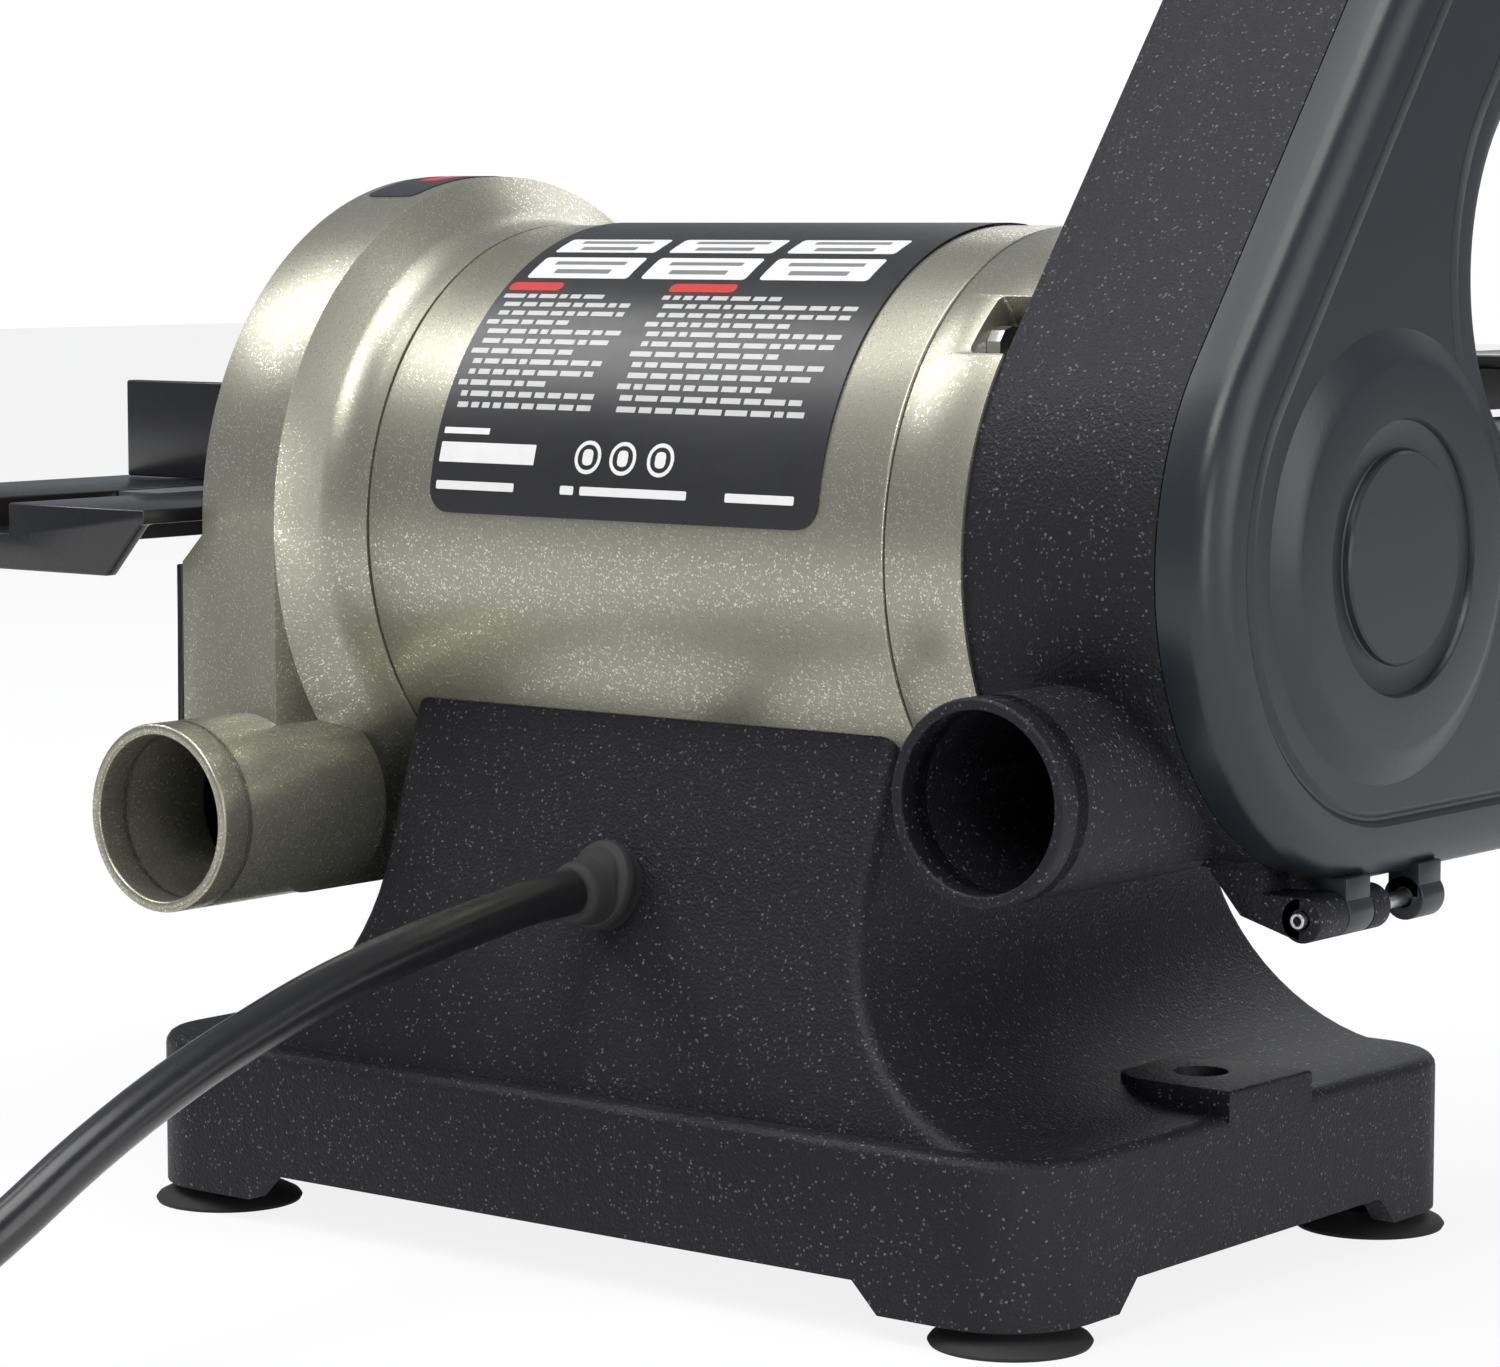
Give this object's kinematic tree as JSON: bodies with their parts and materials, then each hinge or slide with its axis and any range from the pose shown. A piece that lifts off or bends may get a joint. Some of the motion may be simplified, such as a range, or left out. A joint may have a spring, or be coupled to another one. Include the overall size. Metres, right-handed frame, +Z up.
{
  "type": "belt disc sander",
  "caption": "Bench sander with a drum motor on a cast base, a sanding disc and tilting table at one end and a narrow belt in a C-shaped housing at the other.",
  "frame": {"origin": "centre of the footprint of the whole machine, on the surface that the four feet stand on, without the free mains lead", "axes": "+X towards the disc side along the motor shaft, +Y towards the rear where the dust ports and the lead are, +Z up"},
  "size_m": [0.3624, 0.5193, 0.3757],
  "materials": {
    "champagne_paint": "fine metallic champagne paint on sheet steel",
    "champagne_casting": "fine metallic champagne paint on die-cast aluminium",
    "black_textured_paint": "textured black paint with a fine sparkle on cast iron",
    "black_textured_casting": "textured black paint with a fine sparkle on die-cast aluminium",
    "black_satin_cover": "smooth satin",
    "black_sheet_steel": "gloss black enamel on sheet steel",
    "black_cast_small": "black, as cast",
    "bright_steel": "bright zinc plated",
    "floor_plate_steel": "dull grey plate",
    "core_steel": "laminated electrical steel",
    "winding_copper": "enamelled wire",
    "cast_aluminium": "machined casting",
    "bar_steel": "ground bar",
    "capacitor_can": "plastic can",
    "black_plastic": "moulded",
    "switch_red": "gloss red",
    "safety_key_yellow": "gloss yellow",
    "label_film": "printed film, plain blocks only",
    "abrasive_cloth": "aluminium oxide grit on cloth",
    "foot_rubber": "soft rubber",
    "cord_rubber": "glossy black jacket",
    "tie_plastic": "twist tie"
  },
  "bodies": {
    "machine": {"base_casting": "black_textured_paint", "base_floor_plate": "floor_plate_steel", "bearing_belt_side": "bright_steel", "bearing_disc_side": "bright_steel", "belt_end_bell": "champagne_casting", "belt_housing": "black_textured_casting", "cord_coil": "cord_rubber", "cord_tail": "cord_rubber", "cord_tie": "tie_plastic", "cover_hinge_pin": "bright_steel", "disc_dust_cover": "black_sheet_steel", "disc_guard": "champagne_casting", "front_idler_axle": "bright_steel", "housing_screw_1": "bright_steel", "housing_screw_2": "bright_steel", "motor_shell": "champagne_paint", "platen": "bright_steel", "plug": "cord_rubber", "power_cord": "cord_rubber", "rating_label": "label_film", "run_capacitor": "capacitor_can", "sanding_belt": "abrasive_cloth", "stator_core": "core_steel", "strain_relief": "cord_rubber", "suction_foot_1": "foot_rubber", "suction_foot_2": "foot_rubber", "suction_foot_3": "foot_rubber", "suction_foot_4": "foot_rubber", "switch_body": "black_plastic", "tension_spring": "bright_steel", "through_bolt_1": "bright_steel", "through_bolt_2": "bright_steel", "through_bolt_3": "bright_steel", "through_bolt_4": "bright_steel", "winding_end_belt_side": "winding_copper", "winding_end_disc_side": "winding_copper"},
    "spindle": {"motor_shaft": "bright_steel", "rotor_core": "core_steel", "disc_plate": "cast_aluminium", "abrasive_disc": "abrasive_cloth", "drive_wheel": "cast_aluminium", "drive_wheel_nut": "bright_steel"},
    "front_idler": {"front_idler_wheel": "black_plastic"},
    "tension_arm": {"tension_arm": "black_cast_small"},
    "tracking_knob": {"tracking_knob": "black_plastic"},
    "tracking_yoke": {"tracking_yoke": "bright_steel"},
    "top_idler": {"top_idler_wheel": "black_plastic"},
    "belt_cover": {"belt_cover": "black_satin_cover"},
    "cover_knob": {"cover_knob": "black_plastic"},
    "disc_table": {"disc_table": "black_sheet_steel", "disc_table_quadrant": "black_sheet_steel"},
    "disc_table_lock": {"disc_table_lock_knob": "black_plastic"},
    "mitre_bar": {"mitre_bar": "bar_steel"},
    "mitre_head": {"mitre_head": "cast_aluminium"},
    "mitre_knob": {"mitre_knob": "black_plastic"},
    "belt_table": {"belt_table": "black_sheet_steel", "belt_table_quadrant": "black_sheet_steel"},
    "belt_table_lock": {"belt_table_lock_knob": "black_plastic"},
    "switch_rocker": {"switch_rocker": "switch_red"},
    "safety_key": {"safety_key": "safety_key_yellow"}
  },
  "joints": [
    {"name": "spindle_spin", "type": "hinge", "parent": "machine", "child": "spindle", "pos_m": [-0.02185, 0.06275, 0.1415], "axis": [1, 0, 0], "continuous": true},
    {"name": "front_idler_spin", "type": "hinge", "parent": "machine", "child": "front_idler", "pos_m": [-0.13015, -0.05995, 0.1194], "axis": [1, 0, 0], "continuous": true},
    {"name": "tension_swing", "type": "hinge", "parent": "machine", "child": "tension_arm", "pos_m": [-0.10585, -0.02525, 0.3377], "axis": [1, 0, 0], "range_deg": [0, 10], "stiffness_Nm_per_rad": 4, "springref_deg": -14.32},
    {"name": "tracking_turn", "type": "hinge", "parent": "tension_arm", "child": "tracking_knob", "pos_m": [-0.10185, -0.05995, 0.3137], "axis": [1, 0, 0], "range_deg": [-38, 38]},
    {"name": "tracking_tilt", "type": "hinge", "parent": "tension_arm", "child": "tracking_yoke", "pos_m": [-0.09915, -0.05995, 0.3377], "axis": [0, 1, 0], "range_deg": [-0.205, 0.205]},
    {"name": "top_idler_spin", "type": "hinge", "parent": "tracking_yoke", "child": "top_idler", "pos_m": [-0.13015, -0.05995, 0.3377], "axis": [1, 0, 0], "continuous": true},
    {"name": "cover_hinge", "type": "hinge", "parent": "machine", "child": "belt_cover", "pos_m": [-0.15835, 0.06275, 0.0762], "axis": [0, -1, 0], "range_deg": [0, 100]},
    {"name": "cover_knob_turn", "type": "hinge", "parent": "belt_cover", "child": "cover_knob", "pos_m": [-0.16685, -0.0291, 0.3105], "axis": [1, 0, 0], "continuous": true},
    {"name": "disc_table_tilt", "type": "hinge", "parent": "machine", "child": "disc_table", "pos_m": [0.08415, 0.06275, 0.143], "axis": [0, 1, 0], "range_deg": [0, 45]},
    {"name": "disc_table_lock_turn", "type": "hinge", "parent": "machine", "child": "disc_table_lock", "pos_m": [0.06615, -0.01725, 0.12155], "axis": [0, 1, 0], "continuous": true},
    {"name": "mitre_slide", "type": "slide", "parent": "disc_table", "child": "mitre_bar", "axis": [0, 1, 0], "range_m": [-0.03, 0.06]},
    {"name": "mitre_swivel", "type": "hinge", "parent": "mitre_bar", "child": "mitre_head", "pos_m": [0.13115, 0.04075, 0.1445], "axis": [0, 0, 1], "range_deg": [-45, 45]},
    {"name": "mitre_knob_turn", "type": "hinge", "parent": "mitre_head", "child": "mitre_knob", "pos_m": [0.13115, 0.04075, 0.15], "axis": [0, 0, 1], "continuous": true},
    {"name": "belt_table_tilt", "type": "hinge", "parent": "machine", "child": "belt_table", "pos_m": [-0.12985, -0.08725, 0.1725], "axis": [1, 0, 0], "range_deg": [0, 45]},
    {"name": "belt_table_lock_turn", "type": "hinge", "parent": "machine", "child": "belt_table_lock", "pos_m": [-0.09685, -0.07525, 0.1517], "axis": [1, 0, 0], "continuous": true},
    {"name": "switch_rock", "type": "hinge", "parent": "machine", "child": "switch_rocker", "pos_m": [-0.02585, 0.00129, 0.072], "axis": [1, 0, 0], "range_deg": [-10, 10]},
    {"name": "safety_key_pull", "type": "slide", "parent": "switch_rocker", "child": "safety_key", "axis": [0, -0.9523, 0.3051], "range_m": [0, 0.012]}
  ],
  "couplings": [
    {"joint": "front_idler_spin", "follows": "spindle_spin", "ratio": 1.9822},
    {"joint": "top_idler_spin", "follows": "spindle_spin", "ratio": 1.9822},
    {"joint": "tracking_tilt", "follows": "tracking_turn", "ratio": 0.0053}
  ]
}
